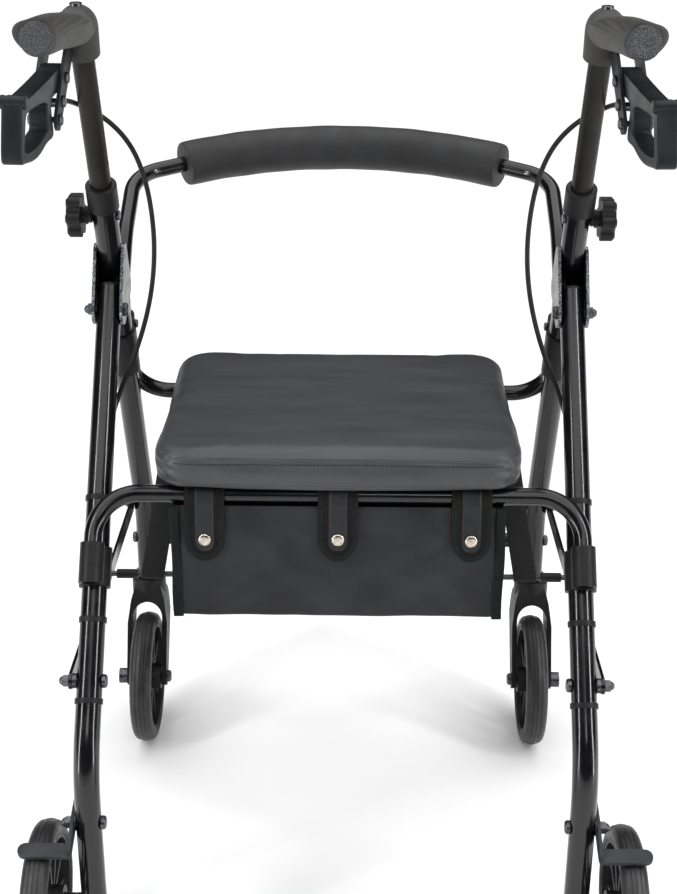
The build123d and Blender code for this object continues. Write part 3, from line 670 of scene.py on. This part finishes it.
def pouch():
    """Open-topped cloth bag whose near face is bound down both edges."""
    low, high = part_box("pouch")
    centre_y, dense = (low.y + high.y) / 2, []
    outline = rounded_outline((low.x, low.y), (high.x, high.y), 0.005, 0, 4)
    for (x0, y0), (x1, y1) in zip(outline, outline[1:] + outline[:1]):
        parts = max(1, round(sqrt((x1 - x0) ** 2 + (y1 - y0) ** 2) / 0.005))
        dense += [(x0 + (x1 - x0) * i / parts, y0 + (y1 - y0) * i / parts) for i in range(parts)]
    rings = []
    for share in (0.05, 0.25, 0.45, 0.65, 0.82, 0.94):
        rings.append([(x * share, centre_y + (y - centre_y) * share, low.z - 0.002 * (1 - share**2)) for x, y in dense])
    rows = 34
    for row in range(rows + 1):
        ring = []
        for x, y in dense:
            near = y < centre_y
            top = POUCH_TOP if near and y < low.y + 0.003 else high.z
            z = low.z + 0.0008 + (top - low.z - 0.0008) * row / rows
            if near and y < low.y + 0.006:
                y += pouch_front(x, z) - low.y
            else:
                y += 0.0035 * sin(pi * row / rows) + 0.0018 * noise.noise(Vector((x * 17, 8, z * 11)))
            ring.append((x, y, z))
        rings.append(ring)
    bag = loft("pouch_bag", rings, caps=False)
    bag = with_modifier(bag, "SOLIDIFY", thickness=0.0014, offset=-1)
    bag = with_modifier(bag, "SUBSURF", levels=1)
    dress(bag, "pouch_cloth", "pouch")
    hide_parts("pouch")
    tapes = []
    for x in (low.x + 0.0040, high.x - 0.0040):
        heights = [low.z - 0.0005 + (POUCH_TOP - low.z) * i / 24 for i in range(25)]
        path = [Vector((x + 0.0005 * sin(z * 70), pouch_front(x, z) - 0.0008, z)) for z in heights]
        tapes.append(band("tape", path, (0, -1, 0), 0.0098, 0.0026))
    dress(joined("pouch_edge_binding", *tapes), "webbing", "pouch", "binding")


def tab_width(z, tip_z, half, tip_length):
    """Half the width of a tab at a height: straight sides that close to a blunt point."""
    share = min(1.0, max(0.0, (z - tip_z) / tip_length))
    return max(half * (1 - (1 - share) ** 2.1) ** 0.66, 0.0008)


def tab_layer(name, x, path, half, tip_z, tip_length, lift, thickness):
    """One layer of a tab along its (y, z) path, set off its surface by lift."""
    rings = []
    for y, z in path:
        if z < tip_z:
            continue
        width = tab_width(z, tip_z, half, tip_length) if z < POUCH_TOP else half
        rings.append([(x + width * u, y - lift, z) for u in (-1, -0.75, -0.4, 0, 0.4, 0.75, 1)])
    return with_modifier(loft(name, rings, caps=False, cyclic=False), "SOLIDIFY", thickness=thickness, offset=0)


def flaps():
    """Three bound tabs that hook over the rail behind the pouch and snap on to its near face."""
    low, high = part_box("pouch_flaps")
    rail_y, rail_z, over, half = -0.1174, 0.443, 0.0098, 0.0190
    xs = [low.x + 0.0205, 0.0, high.x - 0.0205]
    backing, cloth, trims = [], [], []
    for x in xs:
        hook = [(rail_y + over, low.z + 0.045), (rail_y + over, rail_z)]
        hook += [(rail_y + over * cos(a), rail_z + over * sin(a)) for a in [radians(15 * i) for i in range(1, 12)]]
        hook += [(pouch_front(x, POUCH_TOP) - 0.0030, POUCH_TOP + 0.002)]
        heights = [POUCH_TOP + (low.z - POUCH_TOP) * i / 26 for i in range(27)]
        front = [(min(pouch_front(x + dx, z) for dx in (-half, 0, half)) - 0.0026, z) for z in heights]
        path = hook + front
        backing.append(tab_layer("backing", x, path, half, low.z, 0.024, 0, 0.0012))
        cloth.append(tab_layer("face", x, path, 0.0088, low.z + 0.009, 0.010, 0.0007, 0.0008))
        edge = []
        for side in (-1, 1):
            inset = [tab_width(z, low.z, half, 0.024) - 0.0026 for _, z in front[:-1]]
            run = [Vector((x + side * width, y - 0.0006, z)) for width, (y, z) in zip(inset, front)]
            edge += run if side < 0 else run[::-1]
        trims.append(band("trim", edge, (0, -1, 0), 0.0056, 0.0016))
    whole = joined("pouch_tabs", *backing)
    dress(whole, "webbing", "pouch", "flap_binding")
    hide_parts("pouch_flaps")
    dress(joined("tab_faces", *cloth), "pouch_cloth", "pouch")
    dress(joined("tab_binding", *trims), "webbing", "pouch", "binding")
    return xs


def snaps(xs):
    """Domed metal snap on each tab."""
    low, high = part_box("pouch_snaps")
    z = (low.z + high.z) / 2
    profile = [(-0.0016, 0.0060), (0.0004, 0.0064), (0.0014, 0.0062), (0.0021, 0.0052), (0.0026, 0.0034),
               (0.0028, 0.0004)]
    made = []
    for x in xs:
        face = min(pouch_front(x + dx, z) for dx in (-0.019, 0, 0.019)) - 0.0036
        rings = [[(x + r * cos(a), face - out, z + r * sin(a)) for a in turn_steps(40)] for out, r in profile]
        made.append(loft("snap", rings))
    caps = joined("snap_caps", *made)
    dress(caps, "nickel", "pouch")
    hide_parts("pouch_snaps")


# ---- webbing straps ----

def lift_straps():
    """Webbing looped round the stay rod, sewn to itself, and led up under the seat."""
    rod_low, rod_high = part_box("stay_rod")
    rod = (rod_low + rod_high) / 2
    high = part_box("lift_straps")[1]
    eye, thick, width = 0.0047, 0.0022, 0.024
    for name, side in SIDES.items():
        foot_x, top_x = side * (high.x - width / 2), side * 0.168

        def lean(z):
            return foot_x + (top_x - foot_x) * max(0, (z - rod.z)) / (high.z - rod.z)

        lap = [(rod.y + eye + 0.0012, z) for z in (rod.z + 0.042, rod.z + 0.030, rod.z + 0.014)]
        rise = [(rod.y - eye + 0.0022 + 0.0012 * sin(3 * t), rod.z + 0.012 + (high.z - rod.z - 0.012) * t)
                for t in [i / 18 for i in range(19)]]
        yz = lap + [(rod.y + eye, rod.z), (rod.y + eye * 0.7, rod.z - eye * 0.7), (rod.y, rod.z - eye),
                    (rod.y - eye * 0.7, rod.z - eye * 0.7), (rod.y - eye, rod.z)] + rise
        path = [(lean(z), y, z) for y, z in yz]
        normals = []
        for i in range(len(yz)):
            (y0, z0), (y1, z1) = yz[max(i - 1, 0)], yz[min(i + 1, len(yz) - 1)]
            normals.append(Vector((0, z1 - z0, -(y1 - y0))).normalized())
        strap = band("lift_strap_" + name, path, normals, width, thick)
        dress(strap, "webbing")
        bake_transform(strap)
        if side == 1:
            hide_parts("lift_straps")


# ---- handles ----

HANDLE_CORNER = (0.230, -0.052591, 0.864)


def handle_place(side):
    """Matrix that puts a handle piece drawn straight back from the post's top into place."""
    corner = Vector(HANDLE_CORNER)
    placed = Matrix.Translation(corner) @ Matrix.Rotation(radians(3), 4, "Z") @ Matrix.Translation(-corner)
    return Matrix.Scale(-1, 4, (1, 0, 0)) @ placed if side < 0 else placed


def place(obj, matrix):
    obj.data.transform(matrix)
    if matrix.determinant() < 0:
        obj.data.flip_normals()
    return obj


def grip_section(s, width, height, up, wings):
    """Ring across the grip: an oval with thin-lipped wings (direction in degrees, reach, spread) added."""
    x, y, z = HANDLE_CORNER
    y, z, ring = y - s, z + s / 15 + up, []
    for a in turn_steps(96):
        r = 1 / sqrt((cos(a) / (width / 2)) ** 2 + (sin(a) / (height / 2)) ** 2)
        for direction, reach, spread in wings:
            off = (a - radians(direction) + pi) % (2 * pi) - pi
            lip = 1 if direction < 90 else 1.8 if off < 0 else 0.35
            r += reach * exp(-((off / (spread * lip)) ** 2))
        ring.append((x + r * cos(a), y, z + r * sin(a)))
    return ring


def grips():
    """Soft grips: sections along the barrel as (distance, width, height, lift, wings), in mm."""
    mm = 0.001
    sections = [
        (2, 32, 33, 0, []), (14, 32, 32, 0, []), (30, 31, 31, 0, []), (46, 30, 30, 0, [(174, 3, 0.5)]),
        (60, 30, 30, 0, [(176, 9, 0.34), (14, 2, 0.6)]), (76, 31, 30, 1, [(172, 16.5, 0.27), (12, 4, 0.6)]),
        (92, 32, 30, 1, [(165, 18.5, 0.26), (12, 5.5, 0.6)]), (108, 32, 30, 1, [(156, 16.5, 0.27), (14, 6.5, 0.6)]),
        (122, 31.5, 29, 0, [(145, 13, 0.30), (16, 7, 0.6)]), (134, 31, 29, 0, [(131, 9, 0.36), (18, 7, 0.6)]),
        (143, 30, 28.5, 0, [(118, 5, 0.42), (20, 6.5, 0.6)]), (147.5, 29, 28, 0, [(108, 3, 0.45), (22, 5, 0.6)]),
    ]
    for name, side in SIDES.items():
        rings = []
        for s, width, height, up, wings in sections:
            lobes = [(direction, reach * mm, spread) for direction, reach, spread in wings]
            rings.append(grip_section(s * mm, width * mm, height * mm, up * mm, lobes))
        body = loft("grip_body", rings)
        body = with_modifier(body, "SUBSURF", levels=2)
        body.data.materials.append(finishes["grip_rubber"].material)
        hood = hood_over_bend()
        disc = []
        for out, r in ((0.0, 0.0140), (0.0028, 0.0138), (0.0036, 0.0130), (0.0034, 0.0100), (0.0031, 0.0030),
                       (0.0020, 0.0006)):
            disc.append(grip_section(0.1462 + out, 2 * r, 2 * r, 0, []))
        end = loft("grip_end", disc)
        end.data.materials.append(finishes["grip_end"].material)
        whole = joined("soft_grip_" + name, body, hood, end)
        crease_shade(whole, 60)
        place(whole, handle_place(side))
        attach(whole, "handle_" + name)
        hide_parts("grip_" + name)


def hood_over_bend():
    """Rounded cap of the grip that runs over the post's bend and a little way down it."""
    lean = radians(23)
    corner = Vector(HANDLE_CORNER)
    down = Vector((0, sin(lean), -cos(lean)))
    back = Vector((0, -cos(radians(3.8)), sin(radians(3.8))))
    route = [corner + down * 0.028, corner + down * 0.012, corner + Vector((0, 0.001, 0.0035)), corner + back * 0.014,
             corner + back * 0.030]
    path = spline(route, samples=10)
    hood = tube("hood", path, lambda t: 0.0142 + 0.0026 * sin(pi * min(1, 0.15 + t * 0.8)), 40)
    hood.data.materials.append(finishes["grip_rubber"].material)
    return hood


def filled_outline(name, outer, holes, x_middle, half, rounding):
    """Plate across X with a smooth outline, smooth holes and rounded edges."""
    data = bpy.data.curves.new(name, "CURVE")
    data.dimensions = "2D"
    data.resolution_u = 8
    data.fill_mode = "BOTH"
    for points in [outer] + holes:
        line = data.splines.new("NURBS")
        line.points.add(len(points) - 1)
        for knot, (y, z) in zip(line.points, points):
            knot.co = (y / 1000, z / 1000, 0, 1)
        line.order_u = 3
        line.use_cyclic_u = True
    data.extrude = half - rounding
    data.bevel_depth = rounding
    data.bevel_resolution = 3
    data.offset = -rounding
    obj = bpy.data.objects.new(name, data)
    obj.matrix_world = Matrix(((0, 0, 1, x_middle), (1, 0, 0, 0), (0, 1, 0, 0), (0, 0, 0, 1)))
    scene.collection.objects.link(obj)
    made = baked(obj)
    made.data.transform(made.matrix_world)
    made.matrix_world = Matrix.Identity(4)
    return made


def levers():
    """Loop brake levers, drawn in side view as (y, z) in mm, each with a ribbed stop for the thumb."""
    outer = [(-76, 828), (-78, 837), (-92, 836), (-150, 831), (-207, 828), (-221, 830), (-223, 822), (-229, 806),
             (-235, 789), (-234, 781), (-222, 780), (-196, 776), (-172, 777), (-150, 782), (-127, 781), (-127, 792),
             (-130, 806), (-128, 813), (-110, 815), (-88, 814), (-78, 816)]
    hole = [(-149, 815), (-180, 817), (-206, 817), (-212, 814), (-217, 803), (-223, 791), (-219, 788), (-196, 786),
            (-172, 787), (-154, 791), (-143, 792), (-144, 804), (-142, 812)]
    for name, side in SIDES.items():
        loop = filled_outline("loop", outer, [hole], 0.248, 0.0085, 0.0018)
        ribs = [(-0.0108 + 0.0216 * i / 8, 0.0052 + (0.0007 if i % 2 else 0.0)) for i in range(9)]
        profile = [(-0.0112, 0.0), (-0.0112, 0.0044)] + ribs + [(0.0112, 0.0044), (0.0112, 0.0)]
        stop = lathe("stop", profile, (0.248, -0.2165, 0.8275), 32)
        lever = joined("loop_lever_" + name, loop, stop)
        crease_shade(lever, 45)
        lever.data.polygons.foreach_set("use_smooth", [True] * len(lever.data.polygons))
        place(lever, handle_place(side))
        dress(lever, "black_plastic", "lever_" + name, "lever_plastic")
        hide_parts("brake_lever_" + name)


# ---- brake cables ----

def rear_at(t, below):
    """Point on the line of the right rear leg, t below the fold pivot and this far under its axis (mm)."""
    splay = radians(38)
    return (230.0, 20.136 - sin(splay) * t + cos(splay) * below, 580.066 - cos(splay) * t - sin(splay) * below)


# The cable's route on the right side in mm, the same points as in the CAD part.
CABLE_BELOW = 17.8
UPPER_ROUTE = [
    (249.8, -86.7, 803.4), (249.5, -50, 799.5), (243, -8, 788), (221, 9, 772), (201, 12, 750), (189, 13, 722),
    (182, 12, 686), (180, 9, 643), (185, 2, 598), (198, -8, 552), (218, -18, 507), rear_at(130, CABLE_BELOW),
    rear_at(193, CABLE_BELOW),
]
LOWER_ROUTE = [
    rear_at(193, CABLE_BELOW), rear_at(406, CABLE_BELOW), (234, -229, 221), (241, -233.5, 203), (244.5, -233.5, 190),
]


def cables():
    """Each brake cable in three pieces: a top and a middle piece that stay where they are drawn, and one that rides the
    rear leg.
    """
    radius, split_z = 0.0024, 0.704
    for name, side in SIDES.items():
        upper = [(side * x / 1000, y / 1000, z / 1000) for x, y, z in UPPER_ROUTE]
        lower = [(side * x / 1000, y / 1000, z / 1000) for x, y, z in LOWER_ROUTE]
        path = spline(upper, samples=14)
        cut = next(i for i, p in enumerate(path) if p.z < split_z)
        top = dress(tube("brake_cable_top_" + name, path[:cut + 1], radius, 14), "cable_sheath")
        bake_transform(top)
        mid = dress(tube("brake_cable_mid_" + name, path[cut:], radius, 14), "cable_sheath")
        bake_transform(mid)
        low = tube("brake_cable_low_" + name, spline(lower, samples=16), radius, 14)
        dress(low, "cable_sheath", "rear_frame")
        end = Vector(lower[-1])
        wire = tube("brake_wire_" + name, [end + Vector((0, 0, 0.004)), end - Vector((0, 0, 0.012))], 0.0009, 10)
        dress(wire, "fastener", "brake_shoe_" + name, "wire")
        if side == 1:
            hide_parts("brake_cables_upper")
            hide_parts("brake_cables_lower")


# ---- tyres ----

def tyres():
    """Solid tyre: a round crown with three fine grooves, and a step and groove on each side wall."""
    half, top, seat_r = 0.0125, 0.077, 0.0630
    tread = []
    for groove in (-0.0045, 0, 0.0045):
        for x, depth in ((-0.0007, 0), (-0.0003, 0.0005), (0.0003, 0.0005), (0.0007, 0)):
            tread.append((groove + x, top - depth - 0.0012 * ((groove + x) / 0.0052) ** 2))
    angles = [radians(6 + 7 * i) for i in range(13)]
    shoulder = [(half - 0.0076 + 0.0076 * sin(a), top - 0.0094 + 0.0082 * cos(a)) for a in angles]
    wall = [(half, 0.0662), (half - 0.0006, 0.0657), (half - 0.0006, 0.0649), (half, 0.0644), (half - 0.0002, 0.0637),
            (half - 0.0014, seat_r)]
    right = tread[-1:] + shoulder + wall
    profile = [(-x, r) for x, r in reversed(right)] + tread[1:-1] + right
    for name in SIDES:
        for end in ("front", "rear"):
            node = f"{end}_tyre_{name}"
            low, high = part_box(node)
            ring = lathe(f"{end}_tread_{name}", profile, (low + high) / 2, 120)
            crease_shade(ring, 35)
            dress(ring, "tyre", f"{end}_roller_{name}")
            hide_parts(node)


finishes = make_materials()
camera()
studio()
paint_frame()
cables()
seat()
backrest()
pouch()
snaps(flaps())
lift_straps()
grips()
levers()
tyres()
